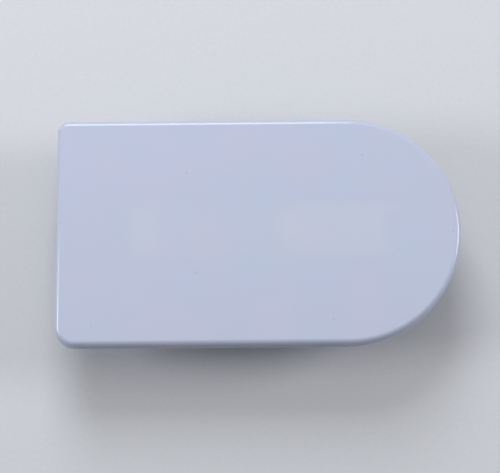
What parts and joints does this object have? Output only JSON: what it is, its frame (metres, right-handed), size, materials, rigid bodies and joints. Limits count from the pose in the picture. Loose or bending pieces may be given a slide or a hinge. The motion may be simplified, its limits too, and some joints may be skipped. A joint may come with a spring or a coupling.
{
  "type": "icing smoother",
  "caption": "Flat plastic smoother plate, square at one end and half round at the other, with a rounded edge and an arched hollow handle on its back.",
  "frame": {"origin": "middle of the handle's flat crest, on which the tool stands with its sole up, under the centre of the plate's box", "axes": "+Z is the sole face's outward normal, +X points to the round end, +Y to the side with the tighter corner"},
  "size_m": [0.15, 0.085, 0.03],
  "materials": {
    "plate_plastic": "polished injection-moulded white plastic with a cool cast",
    "handle_plastic": "injection-moulded white plastic, satin gloss"
  },
  "bodies": {
    "root": {"sole_plate": "plate_plastic", "handle_shell": "handle_plastic", "handle_liner": "handle_plastic"}
  },
  "joints": []
}
